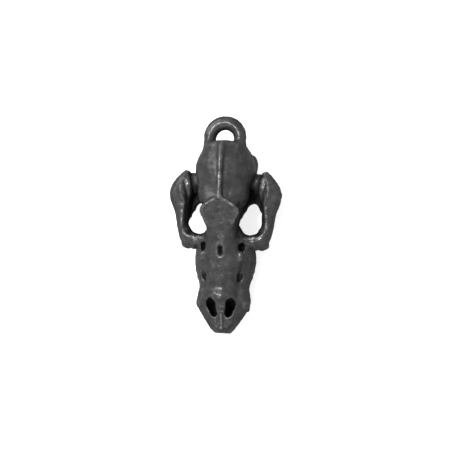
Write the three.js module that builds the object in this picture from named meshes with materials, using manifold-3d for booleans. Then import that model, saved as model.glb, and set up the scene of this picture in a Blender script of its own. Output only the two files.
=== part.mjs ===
// A small wolf-skull charm with a hanging loop, cast in one piece of dark metal.
// Units are millimetres. The skull lies on its canines and ear bullae with +Z up: X runs across it,
// and Y runs back from the tip of the snout to the loop.
import * as THREE from "three";
import { mergeVertices } from "three/addons/utils/BufferGeometryUtils.js";
import Module from "manifold-3d";

const wasm = await Module();
wasm.setup();

// Driving dimensions. Places along the skull are measured back from the tip of the snout,
// and heights up from the surface that the charm lies on.
const PART_GAP = 0.3; // thin cut between two named parts
const CHEEK_CUT = 4.55; // distance from the midline at which a cheek arch leaves the skull
const CORONAL_CUT = 18.6; // where the face ends and the braincase starts
const OCCIPUT_BACK = 26.1; // flat of the occiput that carries the loop
const GUM_HEIGHT = 1.5; // gum line of the upper teeth
const REACH = 60; // farther than any part of the charm, for blocks that cut right through

const LOOP = { ringRadius: 2.13, wireRadius: 0.9, topSwell: 0.12, height: 7.5, legLength: 1.6, back: 26.85 };
const LOOP_TOP_RADIUS = LOOP.wireRadius * (1 + LOOP.topSwell);
const CANINE = { root: [3.0, 4.3, 2.6], tip: [3.1, 3.4, 0], rootRadius: 0.8, tipRadius: 0.24 };
const BULLA = { at: [2.15, 22.5, 1.15], radii: [1.05, 1.5, 1.2] };
const INCISORS = {
  places: [0.32, 0.92, 1.5],
  arcFront: 0.6,
  arcBend: 0.42,
  rake: 0.15,
  rootHeight: 2.1,
  tipHeight: 0.75,
  rootRadius: 0.34,
  tipRadius: 0.16,
  flatness: 0.8,
};
const CHEEK_TEETH = {
  inset: 0.75,
  rootHeight: 2.1,
  tipRadius: 0.25,
  flatness: 0.6,
  row: [
    { back: 6.6, rootRadius: 0.4, tipHeight: 0.95 },
    { back: 7.6, rootRadius: 0.5, tipHeight: 0.8 },
    { back: 8.75, rootRadius: 0.6, tipHeight: 0.65 },
    { back: 10.2, rootRadius: 0.85, tipHeight: 0.35 },
    { back: 11.6, rootRadius: 0.6, tipHeight: 0.75 },
  ],
};

const RING_SIDES = 28;
const BLADE_SIDES = 12;
const LUMP_SIDES = 14;
const CANINE_SIDES = 10;
const SMALL_TOOTH_SIDES = 6;
const ARCH_STEPS = 24;
const LOOP_BENDS = 20;

// Outline curves of the skull's forms: pairs of a place along Y and the size there. A form's powers
// say how square its section is above and below its widest level, where 2 is an ellipse.
const MUZZLE = {
  steps: 24,
  topPower: 1.75,
  basePower: 4,
  halfWidth: [[0, 1.15], [0.5, 1.65], [1.9, 2.65], [3.2, 3.45], [4.3, 3.85], [5.3, 3.78], [6.6, 3.48],
    [8, 3.9], [9.6, 4.27], [11.4, 4.22], [12.6, 3.7], [13.6, 2.4]],
  top: [[0, 2.65], [0.8, 3.1], [2.6, 4.2], [4, 5.1], [4.9, 5.55], [6.1, 5.85], [8.5, 6.45],
    [11.2, 7.15], [13.6, 8.1]],
  base: [[0, 1.65], [1.4, GUM_HEIGHT], [11, GUM_HEIGHT], [13.6, 2.7]],
  widest: [[0, 2.1], [2.5, 2.4], [12.4, 2.75], [13.6, 3.6]],
};
const ORBIT_WALL = {
  steps: 12,
  topPower: 2.4,
  basePower: 2.4,
  halfWidth: [[10, 1.6], [12.5, 2.05], [14.2, 1.9], [15.5, 2.15], [17, 2.55], [19.4, 2.9]],
  top: [[10, 6.6], [12.5, 7.6], [15, 8.8], [17, 9.4], [19.4, 9.5]],
  base: [[10, 2.2], [13.5, 2.6], [19.4, 2.9]],
  widest: [[10, 4], [14.5, 4.3], [19.4, 5.2]],
};
const FRONTAL_SHIELD = {
  steps: 16,
  topPower: 2.6,
  basePower: 2,
  halfWidth: [[10.6, 0.9], [12, 1.55], [13.6, 1.85], [15.2, 2.3], [16.4, 2.78], [17.2, 2.45], [17.8, 1.6],
    [18.2, 0.5]],
  top: [[10.6, 6.7], [12, 7.5], [13.5, 8.45], [15.3, 9.5], [16.7, 9.95], [18.2, 10.1]],
  base: [[10.6, 5.4], [12.5, 6.4], [15.3, 8.1], [18.2, 8.9]],
  widest: [[10.6, 6.0], [12.5, 7.1], [15.3, 8.8], [18.2, 9.4]],
};
const BRAINCASE = {
  steps: 18,
  topPower: 2,
  basePower: 2.4,
  halfWidth: [[16.5, 2.0], [18, 2.35], [19.6, 3.2], [21.2, 3.95], [22.6, 4.25], [24.1, 3.97], [25.3, 3.35],
    [OCCIPUT_BACK, 2.8]],
  top: [[16.5, 9.2], [18.5, 9.45], [21, 9.9], [23.4, 9.95], [25, 9.6], [OCCIPUT_BACK, 9.1]],
  base: [[16.5, 3.2], [19.5, 2.4], [22.5, 1.9], [24.5, 1.9], [OCCIPUT_BACK, 2.6]],
  widest: [[16.5, 6], [19.5, 6.3], [22.5, 6.0], [OCCIPUT_BACK, 5.8]],
};
const SAGITTAL_CREST = {
  steps: 12,
  topPower: 1.6,
  basePower: 2,
  sides: BLADE_SIDES,
  halfWidth: [[17.6, 0.3], [18.6, 0.42], [22, 0.36], [25, 0.6], [26.3, 0.9]],
  top: [[17.6, 9.9], [18.6, 10.2], [20.5, 10.4], [23.5, 10.6], [25.4, 10.35], [26.3, 9.7]],
  base: [[17.6, 8.8], [25.2, 8.6], [26.3, 8.9]],
  widest: [[17.6, 9.35], [25.2, 9.5], [26.3, 9.3]],
};
// Stations of the right cheek arch: place, half width across and half height.
const CHEEK_ARCH = [
  { at: [2.6, 12.9, 4.3], half: [0.95, 1.3] },
  { at: [4.3, 12.75, 4.0], half: [0.95, 1.4] },
  { at: [5.3, 13.0, 3.9], half: [1.0, 1.45] },
  { at: [5.95, 14.6, 4.0], half: [0.9, 1.3] },
  { at: [6.2, 16.8, 4.5], half: [1.05, 1.15] },
  { at: [6.4, 19.1, 5.1], half: [1.65, 1.1] },
  { at: [6.0, 20.8, 5.3], half: [1.3, 1.0] },
  { at: [5.5, 22.5, 5.2], half: [0.4, 0.5] },
];
const CHEEK_CORNER = { at: [5.3, 12.7, 3.6], radii: [1.0, 0.98, 1.3] };
const CHEEK_POINT = { at: [7.2, 19.3, 5.05], radii: [0.85, 1.0, 0.7] };
const FOSSA_FLOOR = { at: [3.9, 18.2, 2.95], radii: [2.9, 4.4, 0.75] };
const ARCH_ROOT = { at: [4.7, 20.9, 4.4], radii: [1.5, 1.45, 1.2] };
const MASTOID = { at: [3.2, 23.6, 3.6], radii: [1.0, 1.6, 1.5] };
const CONDYLE = { at: [1.15, 25.9, 2.9], radii: [0.75, 0.75, 0.7] };
const NUCHAL_CREST = { at: [0, 25.5, 8.6], radii: [2.75, 0.95, 1.2] };

// Openings and hollows cut into the skull.
const NOSTRIL_BACK = { at: [1.33, 3.75, 4.9], radii: [0.64, 0.9, 1.7], turn: [-0.5, 0, -0.2] };
const NOSTRIL_FRONT = { at: [1.02, 2.95, 4.0], radii: [0.5, 0.72, 1.3], turn: [-0.5, 0, -0.2] };
const ORBIT_FRONT = { at: [3.65, 15.4, 3.0], radii: [1.9, 1.6, 2.4] };
const ORBIT_BACK = { at: [3.7, 17.0, 3.0], radii: [1.05, 1.4, 2.4] };
const TEAR_PIT = { at: [2.65, 12.05, 6.25], radii: [0.38, 0.5, 0.9] };
const MUZZLE_PIT = { at: [2.75, 7.8, 4.9], radii: [0.4, 0.75, 0.55] };
const BROW_PIT = { at: [0, 11.4, 7.75], radii: [0.3, 0.7, 0.55] };

// A smooth value along Y through the pairs of an outline curve.
function along(pairs) {
  const places = pairs.map(([place]) => place);
  const sizes = pairs.map(([, size]) => size);
  const curve = new THREE.CubicInterpolant(places, sizes, 1);
  return (y) => curve.evaluate(y)[0];
}

// A closed surface through rings of points that all have the same count.
function loft(rings) {
  const sides = rings[0].length;
  const points = rings.flat();
  const faces = [];
  for (let ring = 0; ring + 1 < rings.length; ring++) {
    for (let side = 0; side < sides; side++) {
      const a = ring * sides + side;
      const b = ring * sides + ((side + 1) % sides);
      faces.push(a, b, a + sides, b, b + sides, a + sides);
    }
  }
  for (const ring of [0, rings.length - 1]) {
    const middle = rings[ring].reduce((sum, p) => sum.add(p), new THREE.Vector3()).divideScalar(sides);
    points.push(middle);
    for (let side = 0; side < sides; side++) {
      const edge = [ring * sides + side, ring * sides + ((side + 1) % sides)];
      faces.push(points.length - 1, ...(ring === 0 ? edge.reverse() : edge));
    }
  }
  return new THREE.BufferGeometry().setFromPoints(points).setIndex(faces);
}

// Points round a circle, each made from its cosine and sine.
function circle(sides, point) {
  return Array.from({ length: sides }, (_, side) => {
    const angle = (2 * Math.PI * side) / sides;
    return point(Math.cos(angle), Math.sin(angle));
  });
}

// The signed power that turns a circle's sine or cosine into a superellipse's.
const bulge = (value, power) => Math.sign(value) * Math.abs(value) ** (2 / power);

// A form along Y whose section is an egg: its own width, top, base and level of greatest width.
function eggForm({ steps, topPower, basePower, sides = RING_SIDES, halfWidth, top, base, widest }) {
  const from = halfWidth[0][0];
  const to = halfWidth.at(-1)[0];
  const [width, upper, lower, level] = [halfWidth, top, base, widest].map(along);
  const rings = [];
  for (let step = 0; step <= steps; step++) {
    const y = from + ((to - from) * step) / steps;
    rings.push(circle(sides, (across, rise) => {
      const power = rise > 0 ? topPower : basePower;
      const reach = rise > 0 ? upper(y) - level(y) : level(y) - lower(y);
      return new THREE.Vector3(width(y) * bulge(across, power), y, level(y) + reach * bulge(rise, power));
    }));
  }
  return loft(rings.reverse());
}

// A bar swept through stations that each have a place, a half width across and a half height.
function sweptBar(stations, steps) {
  const path = new THREE.CatmullRomCurve3(stations.map(({ at }) => new THREE.Vector3(...at)));
  const share = stations.map((_, index) => index / (stations.length - 1));
  const halfWidth = along(stations.map(({ half }, index) => [share[index], half[0]]));
  const halfHeight = along(stations.map(({ half }, index) => [share[index], half[1]]));
  const up = new THREE.Vector3(0, 0, 1);
  const rings = [];
  for (let step = 0; step <= steps; step++) {
    const t = step / steps;
    const middle = path.getPoint(t);
    const across = path.getTangent(t).cross(up).normalize();
    rings.push(circle(BLADE_SIDES, (out, rise) => middle.clone()
      .addScaledVector(across, halfWidth(t) * out)
      .addScaledVector(up, halfHeight(t) * rise)));
  }
  return loft(rings);
}

// A solid of a closed geometry, facing outwards whichever way its triangles were wound.
function solid(geometry) {
  const bare = geometry.clone();
  bare.deleteAttribute("normal");
  bare.deleteAttribute("uv");
  const merged = mergeVertices(bare, 1e-4);
  const vertProperties = new Float32Array(merged.attributes.position.array);
  const triVerts = new Uint32Array(merged.index.array);
  const made = new wasm.Manifold(new wasm.Mesh({ numProp: 3, vertProperties, triVerts }));
  if (made.volume() > 0) return made;
  for (let i = 0; i < triVerts.length; i += 3) {
    [triVerts[i + 1], triVerts[i + 2]] = [triVerts[i + 2], triVerts[i + 1]];
  }
  return new wasm.Manifold(new wasm.Mesh({ numProp: 3, vertProperties, triVerts }));
}

const fused = (solids) => solids.reduce((sum, next) => sum.add(next));
const bothSides = (geometry) => [solid(geometry), solid(geometry.clone().scale(-1, 1, 1))];

// An egg-shaped lump or hollow, turned about X, Y and Z in turn.
function lump({ at, radii, turn = [0, 0, 0] }) {
  return new THREE.SphereGeometry(1, LUMP_SIDES, Math.round(LUMP_SIDES * 0.7))
    .scale(...radii)
    .rotateX(turn[0])
    .rotateY(turn[1])
    .rotateZ(turn[2])
    .translate(...at);
}

// A box between two corners.
function block(low, high) {
  const size = high.map((value, axis) => value - low[axis]);
  const middle = high.map((value, axis) => (value + low[axis]) / 2);
  return solid(new THREE.BoxGeometry(...size).translate(...middle));
}

// A tooth: a cone from its root in the jaw down to a blunt tip, full near the root.
function tooth({ root, tip, rootRadius, tipRadius, flatness = 1 }, sides) {
  const [top, bottom] = [new THREE.Vector3(...root), new THREE.Vector3(...tip)];
  const rings = [0, 0.5, 1].map((share) => {
    const middle = top.clone().lerp(bottom, share);
    const radius = THREE.MathUtils.lerp(rootRadius, tipRadius, share ** 1.4);
    return circle(sides, (across, along) => middle.clone()
      .add(new THREE.Vector3(radius * flatness * across, radius * along, 0)));
  });
  return loft(rings);
}

// The loop: half a ring, thickest at its top, with two straight legs that run into the occiput.
function hangingLoop() {
  const foot = LOOP.back - LOOP.legLength;
  const place = (x, y) => new THREE.Vector3(x, y, LOOP.height);
  const stations = [{ point: place(LOOP.ringRadius, foot), radius: LOOP.wireRadius }];
  for (let bend = 0; bend <= LOOP_BENDS; bend++) {
    const angle = (Math.PI * bend) / LOOP_BENDS;
    const point = place(LOOP.ringRadius * Math.cos(angle), LOOP.back + LOOP.ringRadius * Math.sin(angle));
    stations.push({ point, radius: LOOP.wireRadius * (1 + LOOP.topSwell * Math.sin(angle)) });
  }
  stations.push({ point: place(-LOOP.ringRadius, foot), radius: LOOP.wireRadius });
  const rings = stations.map(({ point, radius }, index) => {
    const ahead = stations[Math.min(index + 1, stations.length - 1)].point;
    const behind = stations[Math.max(index - 1, 0)].point;
    const tangent = ahead.clone().sub(behind).normalize();
    const outward = new THREE.Vector3(tangent.y, -tangent.x, 0);
    return circle(BLADE_SIDES, (across, rise) => point.clone()
      .addScaledVector(outward, radius * across)
      .add(new THREE.Vector3(0, 0, radius * rise)));
  });
  return solid(loft(rings));
}

// The upper teeth: two canines, a row of incisors and a row of cheek teeth on each side.
function upperTeeth() {
  const teeth = [tooth(CANINE, CANINE_SIDES)];
  for (const place of INCISORS.places) {
    const back = INCISORS.arcFront + INCISORS.arcBend * place ** 2;
    const root = [place, back, INCISORS.rootHeight];
    const tip = [place, back - INCISORS.rake, INCISORS.tipHeight];
    teeth.push(tooth({ ...INCISORS, root, tip }, SMALL_TOOTH_SIDES));
  }
  for (const { back, rootRadius, tipHeight } of CHEEK_TEETH.row) {
    const place = along(MUZZLE.halfWidth)(back) - CHEEK_TEETH.inset;
    const root = [place, back, CHEEK_TEETH.rootHeight];
    const tip = [place, back, tipHeight];
    teeth.push(tooth({ ...CHEEK_TEETH, root, tip, rootRadius }, SMALL_TOOTH_SIDES));
  }
  return teeth.flatMap(bothSides);
}

// The skull whole, on flats where it meets the ground.
function skullForm() {
  const pairedLumps = [CHEEK_CORNER, CHEEK_POINT, FOSSA_FLOOR, ARCH_ROOT, MASTOID, BULLA, CONDYLE];
  const forms = [
    ...[MUZZLE, ORBIT_WALL, FRONTAL_SHIELD, BRAINCASE, SAGITTAL_CREST].map((form) => solid(eggForm(form))),
    solid(lump(NUCHAL_CREST)),
    ...bothSides(sweptBar(CHEEK_ARCH, ARCH_STEPS)),
    ...pairedLumps.map(lump).flatMap(bothSides),
    ...upperTeeth(),
  ];
  const openings = [NOSTRIL_BACK, NOSTRIL_FRONT, ORBIT_FRONT, ORBIT_BACK, TEAR_PIT, MUZZLE_PIT];
  const hollows = openings.map(lump).flatMap(bothSides);
  const ground = block([-REACH, -REACH, -REACH], [REACH, REACH, 0]);
  return fused(forms).subtract(fused([...hollows, solid(lump(BROW_PIT)), ground]));
}

// A named mesh of a solid's largest body.
function meshNamed(name, made, material) {
  const bodies = made.decompose().sort((a, b) => b.volume() - a.volume());
  const { vertProperties, triVerts } = bodies[0].getMesh();
  const geometry = new THREE.BufferGeometry()
    .setAttribute("position", new THREE.BufferAttribute(vertProperties, 3))
    .setIndex(new THREE.BufferAttribute(triVerts, 1));
  geometry.computeVertexNormals();
  const mesh = new THREE.Mesh(geometry, material);
  mesh.name = name;
  return mesh;
}

const darkMetal = new THREE.MeshStandardMaterial({ color: 0x4a4a4a, roughness: 0.42, metalness: 0.3 });
const skull = skullForm();
const half = PART_GAP / 2;
const core = skull.intersect(block([half - CHEEK_CUT, -REACH, -REACH], [CHEEK_CUT - half, REACH, REACH]));
const aheadOfCut = block([-REACH, -REACH, -REACH], [REACH, CORONAL_CUT - half, REACH]);
const behindCut = block([-REACH, CORONAL_CUT + half, -REACH], [REACH, REACH, REACH]);
const rightOfCheek = block([CHEEK_CUT + half, -REACH, -REACH], [REACH, REACH, REACH]);
const leftOfCheek = block([-REACH, -REACH, -REACH], [-CHEEK_CUT - half, REACH, REACH]);

const behindOcciput = block([-REACH, OCCIPUT_BACK + half, -REACH], [REACH, REACH, REACH]);

// The space round one leg of the loop that the braincase keeps clear of.
function legSpace(side) {
  const clear = LOOP_TOP_RADIUS + PART_GAP;
  const [inner, outer] = [side * LOOP.ringRadius - clear, side * LOOP.ringRadius + clear];
  return block([inner, OCCIPUT_BACK - half, LOOP.height - clear], [outer, REACH, LOOP.height + clear]);
}

const charm = new THREE.Group();
charm.name = "wolf_skull_charm";
charm.add(
  meshNamed("face", core.intersect(aheadOfCut), darkMetal),
  meshNamed("braincase", core.intersect(behindCut).subtract(legSpace(1)).subtract(legSpace(-1)), darkMetal),
  meshNamed("cheek_arch_right", skull.intersect(rightOfCheek), darkMetal),
  meshNamed("cheek_arch_left", skull.intersect(leftOfCheek), darkMetal),
  meshNamed("hanging_loop", hangingLoop().intersect(behindOcciput), darkMetal),
);
charm.position.y = -(LOOP.back + LOOP.ringRadius + LOOP_TOP_RADIUS) / 2;

export default charm;
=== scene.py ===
"""A cast wolf-skull charm with its hanging loop, and the stage that shows it.

The file is laid out as an add-on and run as a script. The solids give the charm's size and main forms.
One seamless casting takes their place: the solids are copied, their thin cuts are closed, the whole is
fused and rounded as a casting is, and the relief is then worked into its surface stroke by stroke.
"""

import math

import bpy
import numpy as np
from bpy.props import FloatProperty, FloatVectorProperty, IntProperty, PointerProperty
from mathutils import Matrix, Vector
from mathutils.bvhtree import BVHTree


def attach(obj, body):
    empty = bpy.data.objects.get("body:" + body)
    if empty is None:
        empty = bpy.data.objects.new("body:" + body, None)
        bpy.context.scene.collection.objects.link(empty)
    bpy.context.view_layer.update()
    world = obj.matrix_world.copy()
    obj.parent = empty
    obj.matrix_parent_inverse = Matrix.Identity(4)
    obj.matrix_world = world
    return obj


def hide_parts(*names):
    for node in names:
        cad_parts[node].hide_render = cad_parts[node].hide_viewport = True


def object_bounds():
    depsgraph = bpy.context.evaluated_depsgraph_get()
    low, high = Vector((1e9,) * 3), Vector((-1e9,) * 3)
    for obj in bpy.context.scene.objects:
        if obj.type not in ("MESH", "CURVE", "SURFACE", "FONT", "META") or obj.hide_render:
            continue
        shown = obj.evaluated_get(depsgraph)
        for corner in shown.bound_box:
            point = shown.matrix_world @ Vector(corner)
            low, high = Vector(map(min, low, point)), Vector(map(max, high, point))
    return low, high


bl_info = {
    "name": "Wolf Skull Charm",
    "version": (1, 0, 0),
    "blender": (4, 5, 0),
    "location": "View3D > Sidebar > Charm",
    "description": "Makes a cast wolf-skull charm with a hanging loop, and the stage that shows it",
    "category": "Add Mesh",
}

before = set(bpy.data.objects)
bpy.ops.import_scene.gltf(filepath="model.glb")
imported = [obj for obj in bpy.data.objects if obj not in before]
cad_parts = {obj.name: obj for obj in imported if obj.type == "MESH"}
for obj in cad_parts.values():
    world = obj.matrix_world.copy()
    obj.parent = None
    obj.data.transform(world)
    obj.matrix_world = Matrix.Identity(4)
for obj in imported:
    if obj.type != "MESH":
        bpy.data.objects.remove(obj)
CAD_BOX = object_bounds()

# Skull space is in millimetres, with its origin on the surface that the charm lies on, under the tip
# of the snout. X runs across the skull, Y back to the loop and Z up.
MM = 0.001
SNOUT_TIP = CAD_BOX[0][1]
TO_SKULL = Matrix.Scale(1 / MM, 4) @ Matrix.Translation((0, -SNOUT_TIP, 0))
FROM_SKULL = TO_SKULL.inverted()
CASTING = "skull_casting"


class CastingSettings(bpy.types.PropertyGroup):
    """Sizes of the casting and of the relief on it."""

    mesh_pitch: FloatProperty(
        name="Mesh Pitch",
        description="Spacing of the casting's mesh, in millimetres",
        default=0.121,
        min=0.1,
    )
    rounding: IntProperty(
        name="Rounding",
        description="Passes that round the fused solids as a mould does",
        default=9,
    )
    crest_height: FloatProperty(
        name="Crest Height",
        description="How far the crest along the top of the skull is drawn up, in millimetres",
        default=0.24,
    )
    ridge_height: FloatProperty(
        name="Ridge Height",
        description="Height of the lines on the brow, orbits and cheek arches, in millimetres",
        default=0.16,
    )
    groove_depth: FloatProperty(
        name="Groove Depth",
        description="Depth of the grooves and sutures, in millimetres",
        default=0.17,
    )
    grain_height: FloatProperty(
        name="Grain Height",
        description="Height of the unevenness that the mould leaves, in millimetres",
        default=0.018,
    )


class FinishSettings(bpy.types.PropertyGroup):
    """Colours and gloss of the blackened metal, with its painted shade in the recesses and painted
    highlight on the ridges.
    """

    metal_color: FloatVectorProperty(
        name="Metal",
        description="Colour of the open surface",
        subtype="COLOR",
        default=(0.074, 0.074, 0.074),
    )
    # The worn colour also paints highlight: it lightens the ridges where light catches them, beside the
    # real wear.
    worn_and_sheen_color: FloatVectorProperty(
        name="Worn Metal",
        description="Colour of the rubbed ridges",
        subtype="COLOR",
        default=(0.19, 0.19, 0.19),
    )
    # The patina colour also paints shade: every recess darkens towards it by how closed in it is, beyond
    # the real black patina there.
    patina_and_shade_color: FloatVectorProperty(
        name="Patina",
        description="Colour of the black that stays in the recesses",
        subtype="COLOR",
        default=(0.004, 0.004, 0.004),
    )


class StageSettings(bpy.types.PropertyGroup):
    """Floor, light and camera."""

    floor_color: FloatVectorProperty(
        name="Floor",
        description="Colour of the plain floor",
        subtype="COLOR",
        default=(0.9, 0.9, 0.9),
    )
    floor_glow: FloatProperty(
        name="Floor Glow",
        description="How far the floor shines by itself, as a light table does",
        default=0.75,
    )
    key_power: FloatProperty(
        name="Key Light",
        description="Power of the broad soft light at the upper left",
        default=1.6,
        unit="POWER",
    )
    top_power: FloatProperty(
        name="Top Light",
        description="Power of the small light overhead that gives the glints",
        default=0.46,
        unit="POWER",
    )
    front_power: FloatProperty(
        name="Front Light",
        description="Power of the weak light in front of the snout",
        default=0.06,
        unit="POWER",
    )
    sky_strength: FloatProperty(
        name="Surround",
        description="Brightness of the white surround",
        default=0.41,
    )


class CharmSettings(bpy.types.PropertyGroup):
    """All settings of the charm."""

    casting: PointerProperty(type=CastingSettings)
    finish: PointerProperty(type=FinishSettings)
    stage: PointerProperty(type=StageSettings)


# Helpers for modelling


def only(*objects):
    """Selects these objects alone, with the first one active."""
    bpy.ops.object.select_all(action="DESELECT")
    for obj in objects:
        obj.select_set(True)
    bpy.context.view_layer.objects.active = objects[0]


def apply_modifier(obj, kind, **values):
    """Adds a modifier to an object and applies it."""
    only(obj)
    modifier = obj.modifiers.new(kind.title(), kind)
    for name, value in values.items():
        setattr(modifier, name, value)
    bpy.ops.object.modifier_apply(modifier=modifier.name)


def fuse(obj, pitch):
    """Makes one even skin of everything in an object."""
    apply_modifier(obj, "REMESH", mode="VOXEL", voxel_size=pitch, use_smooth_shade=True)


def soften(obj, passes, strength=0.6):
    """Smooths a skin without shrinking it: each pass smooths and then swells it back."""
    swell = 1.04
    for _ in range(passes):
        apply_modifier(obj, "SMOOTH", factor=strength, iterations=1)
        apply_modifier(obj, "SMOOTH", factor=-strength * swell, iterations=1)


def egg(name, at, radii, turn=(0, 0, 0)):
    """An egg-shaped lump in skull space."""
    bpy.ops.mesh.primitive_uv_sphere_add(
        segments=32, ring_count=20, radius=1, location=at, rotation=turn
    )
    made = bpy.context.object
    made.name = name
    made.scale = radii
    bpy.ops.object.transform_apply(location=True, rotation=True, scale=True)
    return made


def mirrored(obj):
    """A copy of an object on the other side of the skull's middle plane."""
    only(obj)
    bpy.ops.object.duplicate()
    copy = bpy.context.object
    bpy.ops.transform.resize(value=(-1, 1, 1), center_override=(0, 0, 0))
    bpy.ops.object.transform_apply(location=True, rotation=True, scale=True)
    bpy.ops.object.mode_set(mode="EDIT")
    bpy.ops.mesh.select_all(action="SELECT")
    bpy.ops.mesh.normals_make_consistent(inside=False)
    bpy.ops.object.mode_set(mode="OBJECT")
    return copy


# The rough casting


def node_copy(node):
    """A copy of a solid in skull space, with its loose triangles merged."""
    copy = bpy.data.objects.new(node.name + "_copy", node.data.copy())
    copy.data.transform(TO_SKULL)
    copy.data.materials.clear()
    bpy.context.collection.objects.link(copy)
    only(copy)
    bpy.ops.object.mode_set(mode="EDIT")
    bpy.ops.mesh.select_all(action="SELECT")
    bpy.ops.mesh.remove_doubles(threshold=1e-4)
    bpy.ops.object.mode_set(mode="OBJECT")
    return copy


def close_cut(copy, axis, side, reach):
    """Draws a solid's flat end face out along an axis, so that it meets the solid across the thin cut."""
    mesh = copy.data
    flat = 0.02
    level = max(side * vertex.co[axis] for vertex in mesh.vertices)
    only(copy)
    bpy.ops.object.mode_set(mode="EDIT")
    bpy.ops.mesh.select_mode(type="FACE")
    bpy.ops.mesh.select_all(action="DESELECT")
    bpy.ops.object.mode_set(mode="OBJECT")
    for face in mesh.polygons:
        on_end = abs(side * face.center[axis] - level) < flat
        face.select = on_end and side * face.normal[axis] > 0.99
    bpy.ops.object.mode_set(mode="EDIT")
    move = [0, 0, 0]
    move[axis] = side * reach
    bpy.ops.mesh.extrude_region_move(TRANSFORM_OT_translate={"value": move})
    bpy.ops.object.mode_set(mode="OBJECT")


def added_lumps():
    """Lumps that thicken the places where the cuts were, and where metal gathers in the mould."""
    lumps = [egg("nuchal_swell", (0, 25.5, 8.4), (2.6, 0.95, 1.3))]
    paired = [
        egg("loop_root", (2.13, 25.8, 7.4), (1.05, 1.0, 1.15)),
        egg("cheek_root", (4.3, 12.75, 4.1), (0.9, 1.15, 1.35)),
        egg("brain_front", (1.9, 19.4, 6.7), (1.75, 2.3, 2.5)),
        egg("brow_waist", (1.3, 14.0, 7.3), (0.8, 1.9, 0.9), (0.4, 0, 0)),
        egg("behind_brow", (1.4, 17.9, 8.7), (1.2, 1.2, 0.9)),
        egg("ear_bulla_neck", (2.5, 22.9, 2.4), (1.25, 1.8, 1.2)),
        egg("orbit_inner_corner", (1.9, 13.9, 4.4), (0.9, 0.9, 1.6)),
        egg("orbit_outer_corner", (5.4, 14.1, 3.9), (0.8, 0.9, 1.2)),
        egg("temple_root", (4.5, 20.8, 4.3), (1.0, 1.5, 1.2)),
        egg("canine_root", (3.1, 4.2, 2.6), (0.72, 0.95, 1.3), (0.25, 0, 0)),
    ]
    for lump in paired:
        lumps += [lump, mirrored(lump)]
    return lumps


def hollows():
    """Cutters for the deep openings: the orbits, the two lobes of each nostril and the tear pits."""
    cutters = []
    paired = [
        egg("orbit_front", (3.65, 15.4, 3.0), (1.9, 1.6, 2.4)),
        egg("orbit_middle", (3.68, 16.2, 3.0), (1.55, 1.5, 2.4)),
        egg("orbit_back", (3.7, 17.0, 3.0), (1.05, 1.4, 2.4)),
        egg("nostril_back", (1.32, 3.75, 4.0), (0.74, 0.85, 2.6), (-0.3, 0, -0.2)),
        egg("nostril_front", (1.08, 2.95, 3.6), (0.6, 0.76, 1.9), (-0.4, 0, -0.2)),
        egg("tear_pit", (2.76, 11.8, 5.5), (0.54, 0.66, 1.1), (0.1, 0.5, 0)),
    ]
    for cutter in paired:
        cutters += [cutter, mirrored(cutter)]
    return cutters


def rough_casting(settings):
    """Makes one rounded skin of the solids and the added lumps, and cuts its openings, in skull space."""
    gap = 0.3
    overlap = 0.15
    copies = {name: node_copy(node) for name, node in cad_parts.items()}
    close_cut(copies["face"], 1, 1, gap + overlap)
    close_cut(copies["cheek_arch_right"], 0, -1, gap + overlap)
    close_cut(copies["cheek_arch_left"], 0, 1, gap + overlap)
    close_cut(copies["hanging_loop"], 1, -1, 3 * gap)
    casting = copies["face"]
    casting.name = CASTING
    only(casting, *[copy for copy in copies.values() if copy != casting], *added_lumps())
    bpy.context.view_layer.objects.active = casting
    bpy.ops.object.join()
    fuse(casting, settings.mesh_pitch)
    soften(casting, settings.rounding)
    cutters = hollows()
    only(*cutters)
    bpy.ops.object.join()
    cutter = bpy.context.object
    fuse(cutter, settings.mesh_pitch)
    apply_modifier(casting, "BOOLEAN", operation="DIFFERENCE", object=cutter, solver="EXACT")
    bpy.data.objects.remove(cutter)
    fuse(casting, settings.mesh_pitch)
    soften(casting, 2)


# The relief


class Clay:
    """The casting's surface while its relief is worked, in skull space."""

    def __init__(self, obj):
        self.mesh = obj.data
        self.points = np.zeros((len(self.mesh.vertices), 3))
        self.mesh.vertices.foreach_get("co", self.points.ravel())
        self.settle()

    def settle(self):
        """Writes the points back and reads the way the surface faces at each."""
        self.mesh.vertices.foreach_set("co", self.points.ravel())
        self.mesh.update()
        self.facing = np.zeros((len(self.points), 3), np.float32)
        self.mesh.vertex_normals.foreach_get("vector", self.facing.ravel())

    def distance(self, path):
        """How far each point lies from a path of straight stretches."""
        path = [np.array(place, float) for place in path]
        nearest = np.full(len(self.points), np.inf)
        for start, end in zip(path, path[1:] or path):
            along = end - start
            share = (self.points - start) @ along / max(along @ along, 1e-9)
            foot = start + np.clip(share, 0, 1)[:, None] * along
            nearest = np.minimum(nearest, np.linalg.norm(self.points - foot, axis=1))
        return nearest

    def draped(self, path, side):
        """A path seen from above, laid on the top of the surface on one side of the skull."""
        laid = []
        around = 0.2
        for x, y in path:
            near = np.hypot(self.points[:, 0] - side * x, self.points[:, 1] - y) < around
            laid.append((side * x, y, self.points[near, 2].max()))
        return laid

    def stroke(self, path, radius, height, sharp=False, paired=True):
        """Raises the surface along a path, or presses it in where the height is negative."""
        sides = (1, -1) if paired else (1,)
        for side in sides:
            if len(path[0]) == 2:
                away = self.distance(self.draped(path, side))
            else:
                away = self.distance([(side * x, y, z) for x, y, z in path])
            if sharp:
                edge = 1.6
                weight = np.clip(1 - away / (2 * radius), 0, 1) ** edge
            else:
                weight = np.exp(-((away / radius) ** 2))
            self.points += self.facing * (height * weight)[:, None]
        self.settle()

    def rub(self, path, radius, passes):
        """Rubs the surface smooth round a path, on both sides of the skull."""
        columns = [averaged(self.mesh, self.points[:, axis], passes) for axis in range(3)]
        smooth = np.stack(columns, axis=1)
        for side in (1, -1):
            away = self.distance([(side * x, y, z) for x, y, z in path])
            weight = np.clip(2 - away / radius, 0, 1)[:, None]
            self.points = self.points * (1 - weight) + smooth * weight
        self.settle()


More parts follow.
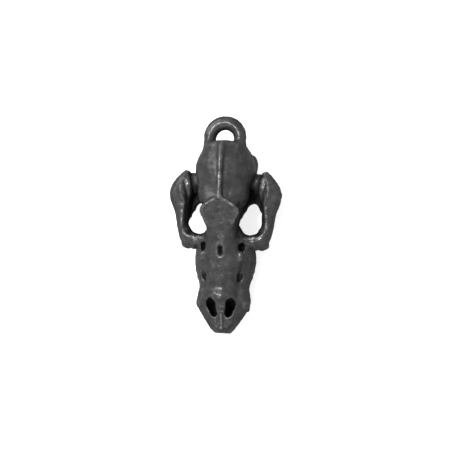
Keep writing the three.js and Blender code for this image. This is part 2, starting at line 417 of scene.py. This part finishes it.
def blend_forms(clay):
    """Rubs down the steps where one form runs into the next."""
    nape = [(0, 25.3, 9.7), (1.5, 25.4, 9.3), (2.6, 25.4, 8.0), (2.8, 25.0, 6.6)]
    brow_front = [(0, 9.9, 6.6), (1.5, 10.6, 6.6), (2.0, 11.4, 6.7), (2.1, 13.2, 7.2)]
    brow = [(0, 16.2, 9.8), (0, 13.4, 8.4)]
    bridge = [(0, 9.8, 6.5), (0, 7.2, 5.7)]
    brain_front = [(2.0, 18.6, 9.0), (2.4, 19.8, 9.0), (3.2, 20.6, 8.2)]
    brain_side = [(3.3, 19.4, 8.0), (3.7, 22.0, 8.2), (3.3, 24.4, 8.0)]
    crest = [(0, 25.2, 10.3), (0, 22.0, 10.6), (0, 18.4, 10.2)]
    behind_brow = [(1.2, 18.6, 9.2), (2.3, 17.6, 8.6)]
    ear_bulla = [(2.9, 23.8, 2.8), (2.7, 22.4, 2.4)]
    temple = [(3.6, 20.6, 5.4), (4.7, 20.8, 5.4)]
    cheek = [(3.2, 12.6, 4.9), (4.8, 12.7, 4.9)]
    orbit_corner = [(2.0, 14.2, 5.8), (2.1, 14.2, 4.4)]
    orbit_front = [(2.2, 14.2, 4.6), (2.8, 13.9, 4.0), (4.6, 13.8, 3.9), (5.1, 14.3, 3.9)]
    clay.rub(nape, 0.9, 70)
    clay.rub(brow_front, 0.9, 90)
    clay.rub(brow, 1.1, 150)
    clay.rub(bridge, 0.9, 80)
    clay.rub(brain_front, 0.8, 90)
    clay.rub(brain_side, 0.9, 60)
    clay.rub(crest, 0.4, 8)
    clay.rub(behind_brow, 0.5, 40)
    clay.rub(ear_bulla, 0.8, 60)
    clay.rub(temple, 0.6, 40)
    clay.rub(cheek, 0.5, 30)
    clay.rub(orbit_corner, 0.7, 70)
    clay.rub(orbit_front, 0.6, 40)


def work_skull_roof(clay, settings):
    """The crest along the top, the two lines that part from it, and the slope of the brow below them."""
    crest = [(0, 25.8), (0, 24.2), (0, 20.8), (0, 18.3)]
    temporal_line = [(0.1, 18.25), (0.9, 17.9), (1.7, 17.4), (2.5, 16.7)]
    behind_line = [(1.2, 18.5), (2.3, 17.6)]
    upper_brow = [(0, 16.4), (0.8, 16.3), (1.6, 16.0)]
    lower_brow = [(0, 14.8), (0.9, 14.8)]
    clay.stroke(upper_brow, 1.0, -1.2 * settings.groove_depth)
    clay.stroke(lower_brow, 1.2, -0.9 * settings.groove_depth)
    clay.stroke(behind_line, 0.5, -0.5 * settings.groove_depth)
    clay.stroke(crest, 0.45, settings.crest_height, paired=False)
    clay.stroke(temporal_line, 0.36, 0.7 * settings.ridge_height)


def work_orbits_and_arches(clay, settings):
    """The rims of the orbits and the ridges and grooves along the cheek arches."""
    brow_edge = [(2.75, 16.2, 9.2), (2.3, 15.2, 8.9), (2.0, 14.2, 8.4)]
    orbit_rim = [(1.9, 13.3, 7.6), (2.6, 13.2, 6.2), (3.6, 13.3, 5.4), (4.8, 13.3, 5.2), (5.6, 13.7, 5.2)]
    arch_top = [(6.1, 14.6), (5.9, 16.6), (5.7, 18.0), (6.1, 19.0), (6.3, 20.2)]
    arch_inner = [(4.8, 19.4, 5.3), (5.0, 20.3, 5.8), (5.2, 21.4, 5.9)]
    arch_groove = [(5.15, 18.6), (5.4, 19.7), (5.7, 20.9)]
    cheek_edge = [(4.2, 11.95, 3.9), (5.2, 11.8, 3.5), (6.1, 12.2, 3.3)]
    clay.stroke(arch_groove, 0.24, -settings.groove_depth)
    clay.stroke(brow_edge, 0.3, 0.7 * settings.ridge_height, sharp=True)
    clay.stroke(orbit_rim, 0.3, settings.ridge_height, sharp=True)
    clay.stroke(arch_top, 0.3, 1.3 * settings.ridge_height, sharp=True)
    clay.stroke(arch_inner, 0.24, settings.ridge_height, sharp=True)
    clay.stroke(cheek_edge, 0.34, settings.ridge_height, sharp=True)


def work_muzzle(clay, settings):
    """The bridge, the pits and hollows beside it, and the swellings over the teeth."""
    bridge_edge = [(1.9, 6.2), (1.5, 7.2), (1.3, 8.6), (1.5, 10.2)]
    side_hollow = [(2.5, 4.3), (2.4, 5.4)]
    canine_swell = [(3.2, 3.6), (3.3, 4.6), (3.1, 5.8)]
    gum_edge = [(4.1, 11.2, 2.6), (4.1, 9.6, 2.5), (3.8, 8.0, 2.4), (3.4, 6.6, 2.3)]
    tear_pit = [(2.65, 12.0)]
    below_tear_pit = [(2.75, 10.8), (2.75, 10.1)]
    muzzle_hollow = [(2.5, 7.8), (2.65, 6.9)]
    muzzle_pit = [(2.52, 7.75), (2.6, 7.35)]
    brow_pit = [(0, 11.35), (0, 10.75)]
    side_groove = [(3.0, 9.4), (2.75, 8.3)]
    nose_swell = [(0, 4.9), (0.85, 4.95)]
    nose_side = [(0.9, 5.3)]
    clay.stroke(side_hollow, 0.5, -1.2 * settings.groove_depth)
    clay.stroke(tear_pit, 0.55, -1.2 * settings.groove_depth)
    clay.stroke(muzzle_hollow, 0.6, -1.2 * settings.groove_depth)
    clay.stroke(muzzle_pit, 0.28, -5 * settings.groove_depth, sharp=True)
    clay.stroke(brow_pit, 0.28, -6 * settings.groove_depth, sharp=True, paired=False)
    clay.stroke(side_groove, 0.35, -settings.groove_depth)
    clay.stroke(bridge_edge, 0.4, 0.8 * settings.ridge_height)
    clay.stroke(nose_swell, 0.65, 1.5 * settings.ridge_height)
    clay.stroke(nose_side, 0.5, settings.ridge_height)
    clay.stroke(canine_swell, 0.5, 1.2 * settings.ridge_height)
    clay.stroke(gum_edge, 0.45, 0.6 * settings.ridge_height)
    clay.stroke(below_tear_pit, 0.38, 2.3 * settings.ridge_height)
    tooth_roots = (6.8, 7.7, 8.8, 10.2, 11.4)
    for back in tooth_roots:
        clay.stroke([(4.0, back, 2.2), (3.9, back, 3.1)], 0.28, 0.6 * settings.ridge_height)


def work_snout(clay, settings):
    """The suture between the two halves of the snout's tip, the grooves beside it and the rim below."""
    suture = [(0, 2.5), (0, 1.4), (0, 0.6)]
    beside_suture = [(0.5, 2.3), (0.44, 1.4)]
    rim = [(1.5, 1.5), (0.8, 0.85), (0, 0.55)]
    below_rim = [(1.6, 0.9, 2.7), (0.8, 0.35, 2.6), (0, 0.1, 2.5)]
    clay.stroke(beside_suture, 0.24, -1.3 * settings.groove_depth)
    clay.stroke(below_rim, 0.22, -0.6 * settings.groove_depth)
    clay.stroke(suture, 0.2, 1.2 * settings.ridge_height, sharp=True, paired=False)
    clay.stroke(rim, 0.2, 1.2 * settings.ridge_height, sharp=True)


def work_back_and_underside(clay, settings):
    """The hole for the spine, the groove along the palate and the hollow of the throat."""
    spine_hole = [(0, 26.2, 4.3)]
    palate = [(0, 2.5, 1.5), (0, 11.5, 1.5)]
    throat = [(0, 13.2, 2.4), (0, 17.5, 2.9)]
    clay.stroke(spine_hole, 0.75, -4 * settings.groove_depth, paired=False)
    clay.stroke(palate, 0.35, -settings.groove_depth, paired=False)
    clay.stroke(throat, 0.6, -2 * settings.groove_depth, paired=False)


def work_grain(clay, settings):
    """The slight unevenness that the mould leaves all over."""
    count = 24
    fineness = 5
    waves = np.random.default_rng(7).normal(size=(count, 3)) * fineness
    starts = np.random.default_rng(8).uniform(0, 2 * math.pi, count)
    height = np.sin(clay.points @ waves.T + starts).sum(axis=1) / math.sqrt(count)
    clay.points += clay.facing * (settings.grain_height * height)[:, None]
    clay.settle()


# Wear and patina, with painted shade in the recesses and painted highlight on the ridges


def averaged(mesh, values, passes):
    """Values on the points of a mesh, each evened out with its neighbours' several times."""
    edges = np.zeros((len(mesh.edges), 2), int)
    mesh.edges.foreach_get("vertices", edges.ravel())
    count = np.bincount(edges.ravel(), minlength=len(values))
    for _ in range(passes):
        total = np.bincount(edges[:, 0], values[edges[:, 1]], len(values))
        total += np.bincount(edges[:, 1], values[edges[:, 0]], len(values))
        values = 0.5 * values + 0.5 * total / np.maximum(count, 1)
    return values


def openness(obj, reach, rays):
    """How open each point is, from 0 in a deep recess to 1 in the open, seen up to a reach away; it sets
    the painted shade in the recesses.
    """
    mesh = obj.data
    tree = BVHTree.FromPolygons(
        [vertex.co for vertex in mesh.vertices], [face.vertices[:] for face in mesh.polygons]
    )
    golden = math.pi * (3 - math.sqrt(5))
    ways = []
    for ray in range(rays):
        rise = math.sqrt(1 - (ray + 0.5) / rays)
        spread = math.sqrt(1 - rise * rise)
        ways.append(Vector((spread * math.cos(ray * golden), spread * math.sin(ray * golden), rise)))
    lift = 0.03
    up = Vector((0, 0, 1))
    found = np.zeros(len(mesh.vertices))
    for index, vertex in enumerate(mesh.vertices):
        turn = up.rotation_difference(vertex.normal)
        start = vertex.co + vertex.normal * lift
        clear = sum(tree.ray_cast(start, turn @ way, reach)[0] is None for way in ways)
        found[index] = clear / rays
    return averaged(mesh, found, 3)


def ridges(obj):
    """How sharply each point stands out of its surroundings: 0.5 on flat places, more on ridges; it sets
    the wear and painted highlight on the ridges.
    """
    mesh = obj.data
    points = np.zeros((len(mesh.vertices), 3))
    mesh.vertices.foreach_get("co", points.ravel())
    facing = np.zeros((len(points), 3), np.float32)
    mesh.vertex_normals.foreach_get("vector", facing.ravel())
    around = np.stack([averaged(mesh, points[:, axis], 10) for axis in range(3)], axis=1)
    stand = ((points - around) * facing).sum(axis=1)
    full = 0.09
    return np.clip(0.5 + 0.5 * stand / full, 0, 1)


def keep_on_points(obj, name, values):
    """Stores a value at each point, for the metal's finish."""
    attribute = obj.data.attributes.new(name, "FLOAT", "POINT")
    attribute.data.foreach_set("value", values.astype(np.float32))


# Materials


class NodeBoard:
    """A material's nodes, added and joined with short calls."""

    def __init__(self, material):
        material.use_nodes = True
        self.nodes = material.node_tree.nodes
        self.links = material.node_tree.links
        self.nodes.clear()

    def add(self, kind, inputs=None, **values):
        """A new node, with its inputs set or joined."""
        node = self.nodes.new(kind)
        for name, value in values.items():
            setattr(node, name, value)
        for name, value in (inputs or {}).items():
            if isinstance(value, bpy.types.NodeSocket):
                self.links.new(value, node.inputs[name])
            else:
                node.inputs[name].default_value = value
        return node

    def ramp(self, fac, stops):
        """A grey ramp over a value."""
        node = self.add("ShaderNodeValToRGB", {"Fac": fac})
        elements = node.color_ramp.elements
        while len(elements) < len(stops):
            elements.new(1)
        for element, (place, shade) in zip(elements, stops):
            element.position = place
            element.color = (shade, shade, shade, 1)
        return node.outputs["Color"]

    def mix(self, share, first, second):
        """A mix of two colours."""
        node = self.add("ShaderNodeMix", data_type="RGBA")
        sockets = (node.inputs[0], node.inputs[6], node.inputs[7])
        for socket, value in zip(sockets, (share, first, second)):
            if isinstance(value, bpy.types.NodeSocket):
                self.links.new(value, socket)
            else:
                socket.default_value = value
        return node.outputs[2]

    def math(self, operation, first, second):
        """The result of one operation on two values."""
        node = self.add("ShaderNodeMath", {0: first, 1: second}, operation=operation)
        return node.outputs[0]


def blackened_metal(finish):
    """Dark cast metal with a fine grain: black patina and painted shade in the recesses, worn metal and a
    painted highlight on the ridges.
    """
    material = bpy.data.materials.new("blackened_metal")
    board = NodeBoard(material)
    place = board.add("ShaderNodeTexCoord").outputs["Object"]
    openness_value = board.add("ShaderNodeAttribute", attribute_name="openness").outputs["Fac"]
    ridge_value = board.add("ShaderNodeAttribute", attribute_name="ridge").outputs["Fac"]
    fine_scale = 5200
    mottle_scale = 900
    fine = board.add(
        "ShaderNodeTexNoise",
        {"Vector": place, "Scale": fine_scale, "Detail": 3, "Roughness": 0.6},
    )
    mottle = board.add(
        "ShaderNodeTexNoise",
        {"Vector": place, "Scale": mottle_scale, "Detail": 4, "Roughness": 0.55},
    )
    # Openness masks the painted shade in the recesses, and their dullness.
    open_share = board.ramp(openness_value, [(0.3, 0.0), (0.52, 0.3), (0.76, 1.0)])
    # Painted highlight with wear: the sharper a ridge stands out, the more it takes the lighter worn
    # colour.
    worn_and_sheen_share = board.ramp(ridge_value, [(0.55, 0.0), (0.9, 1.0)])
    patchy = board.ramp(mottle.outputs["Fac"], [(0.35, 0.35), (0.65, 1.0)])
    wear_and_sheen = board.math("MULTIPLY", worn_and_sheen_share, patchy)
    metal = board.mix(wear_and_sheen, (*finish.metal_color, 1), (*finish.worn_and_sheen_color, 1))
    cloudy = board.ramp(mottle.outputs["Fac"], [(0.3, 0.65), (0.7, 1.3)])
    varied = board.add("ShaderNodeMix", data_type="RGBA", blend_type="MULTIPLY")
    varied.inputs[0].default_value = 1
    board.links.new(metal, varied.inputs[6])
    board.links.new(cloudy, varied.inputs[7])
    # Painted shade with patina: the recesses take the black colour by how closed in they are.
    color = board.mix(open_share, (*finish.patina_and_shade_color, 1), varied.outputs[2])
    gloss = board.ramp(fine.outputs["Fac"], [(0.3, 0.2), (0.7, 0.4)])
    dull = (0.75, 0.75, 0.75, 1)
    roughness = board.mix(open_share, dull, gloss)
    height = board.math("ADD", board.math("MULTIPLY", fine.outputs["Fac"], 0.6), mottle.outputs["Fac"])
    bump = board.add("ShaderNodeBump", {"Height": height, "Strength": 0.35, "Distance": 0.00005})
    shader = board.add(
        "ShaderNodeBsdfPrincipled",
        {
            "Base Color": color,
            "Roughness": roughness,
            "Metallic": 0.35,
            "Normal": bump.outputs["Normal"],
        },
    )
    board.add("ShaderNodeOutputMaterial", {"Surface": shader.outputs["BSDF"]})
    return material


def plain_floor(color, glow):
    """A plain pale floor that looks lit from within, and throws little of that light up at the charm."""
    material = bpy.data.materials.new("plain_floor")
    board = NodeBoard(material)
    seen = board.add("ShaderNodeLightPath").outputs["Is Camera Ray"]
    pale = board.add(
        "ShaderNodeBsdfPrincipled",
        {
            "Base Color": (*color, 1),
            "Roughness": 0.8,
            "Emission Color": (1, 1, 1, 1),
            "Emission Strength": glow,
        },
    )
    dim_color = (0.3, 0.3, 0.3, 1)
    dim = board.add("ShaderNodeBsdfDiffuse", {"Color": dim_color})
    surface = board.add("ShaderNodeMixShader", {0: seen, 1: dim.outputs[0], 2: pale.outputs[0]})
    board.add("ShaderNodeOutputMaterial", {"Surface": surface.outputs[0]})
    return material


# Stage


def lay_floor(settings):
    """A wide plain floor under the charm."""
    width = 3
    bpy.ops.mesh.primitive_plane_add(size=width, location=(0, 0, 0))
    floor = bpy.context.object
    floor.name = "floor"
    floor.data.materials.append(plain_floor(settings.floor_color, settings.floor_glow))


def area_light(name, at, size, power):
    """Adds a soft square light that faces the charm."""
    data = bpy.data.lights.new(name, "AREA")
    data.size = size
    data.energy = power
    light = bpy.data.objects.new(name, data)
    bpy.context.collection.objects.link(light)
    light.location = at
    light.rotation_euler = Vector(at).to_track_quat("Z", "Y").to_euler()


def set_lights(settings):
    """A broad light at the upper left, a small one overhead, a weak one in front, and a surround."""
    upper_left = (-0.35, 0.3, 0.45)
    overhead = (-0.06, 0.03, 0.3)
    before_snout = (-0.045, -0.24, 0.18)
    area_light("key", upper_left, 0.5, settings.key_power)
    area_light("top", overhead, 0.05, settings.top_power)
    area_light("front", before_snout, 0.06, settings.front_power)
    world = bpy.data.worlds.new("surround")
    bpy.context.scene.world = world
    world.use_nodes = True
    background = world.node_tree.nodes["Background"]
    background.inputs["Color"].default_value = (1, 1, 1, 1)
    background.inputs["Strength"].default_value = settings.sky_strength


def set_camera():
    """A camera that looks down on the skull from a little to its right."""
    toward = Vector((0.185, -0.119, 0.976)).normalized()
    right = Vector((0.982, 0.051, -0.180)).normalized()
    up = toward.cross(right)
    aim = FROM_SKULL @ Vector((0.295, 14.82, 4.98))
    distance = 0.288
    data = bpy.data.cameras.new("camera")
    data.sensor_width = 36
    data.lens = 163.9
    data.clip_start = 0.01
    camera = bpy.data.objects.new("camera", data)
    bpy.context.collection.objects.link(camera)
    turn = Matrix((right, up, toward)).transposed().to_4x4()
    camera.matrix_world = Matrix.Translation(aim + toward * distance) @ turn
    bpy.context.scene.camera = camera
    bpy.context.scene.view_settings.view_transform = "Standard"


# Operators


class CHARM_OT_casting(bpy.types.Operator):
    """Fuse the solids into one rounded casting with its openings"""

    bl_idname = "charm.casting"
    bl_label = "Cast the Skull"

    def execute(self, context):
        rough_casting(context.scene.charm.casting)
        return {"FINISHED"}


class CHARM_OT_relief(bpy.types.Operator):
    """Work the crests, rims, grooves and grain into the casting"""

    bl_idname = "charm.relief"
    bl_label = "Work the Relief"

    def execute(self, context):
        settings = context.scene.charm.casting
        casting = bpy.data.objects[CASTING]
        clay = Clay(casting)
        blend_forms(clay)
        work_skull_roof(clay, settings)
        work_orbits_and_arches(clay, settings)
        work_muzzle(clay, settings)
        work_snout(clay, settings)
        work_back_and_underside(clay, settings)
        soften(casting, 1)
        work_grain(Clay(casting), settings)
        return {"FINISHED"}


class CHARM_OT_finish(bpy.types.Operator):
    """Blacken the casting with painted shade in its recesses and a painted highlight on its ridges, and
    set it in place of the solids
    """

    bl_idname = "charm.finish"
    bl_label = "Blacken the Metal"

    def execute(self, context):
        casting = bpy.data.objects[CASTING]
        reach = 6.0
        rays = 20
        # Openness sets the painted shade in the recesses.
        keep_on_points(casting, "openness", openness(casting, reach, rays))
        # The ridge value sets the wear and painted highlight on the ridges.
        keep_on_points(casting, "ridge", ridges(casting))
        casting.data.transform(FROM_SKULL)
        casting.data.materials.append(blackened_metal(context.scene.charm.finish))
        only(casting)
        bpy.ops.object.shade_smooth()
        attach(casting, "root")
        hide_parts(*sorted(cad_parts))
        return {"FINISHED"}


class CHARM_OT_stage(bpy.types.Operator):
    """Set up the floor, the soft light and the camera"""

    bl_idname = "charm.stage"
    bl_label = "Set the Stage"

    def execute(self, context):
        settings = context.scene.charm.stage
        lay_floor(settings)
        set_lights(settings)
        set_camera()
        return {"FINISHED"}


# Panel and registration


class CHARM_PT_panel(bpy.types.Panel):
    """The charm's steps and settings."""

    bl_idname = "CHARM_PT_panel"
    bl_label = "Wolf Skull Charm"
    bl_space_type = "VIEW_3D"
    bl_region_type = "UI"
    bl_category = "Charm"

    def draw(self, context):
        layout = self.layout
        for operator in OPERATORS:
            layout.operator(operator.bl_idname)
        settings = context.scene.charm
        for group in (settings.casting, settings.finish, settings.stage):
            box = layout.box()
            for name in group.__annotations__:
                box.prop(group, name)


OPERATORS = (CHARM_OT_casting, CHARM_OT_relief, CHARM_OT_finish, CHARM_OT_stage)
CLASSES = (CastingSettings, FinishSettings, StageSettings, CharmSettings, *OPERATORS, CHARM_PT_panel)


def register():
    for cls in CLASSES:
        bpy.utils.register_class(cls)
    bpy.types.Scene.charm = PointerProperty(type=CharmSettings)


def unregister():
    del bpy.types.Scene.charm
    for cls in reversed(CLASSES):
        bpy.utils.unregister_class(cls)


def main():
    register()
    bpy.ops.charm.casting()
    bpy.ops.charm.relief()
    bpy.ops.charm.finish()
    bpy.ops.charm.stage()


if __name__ == "__main__":
    main()
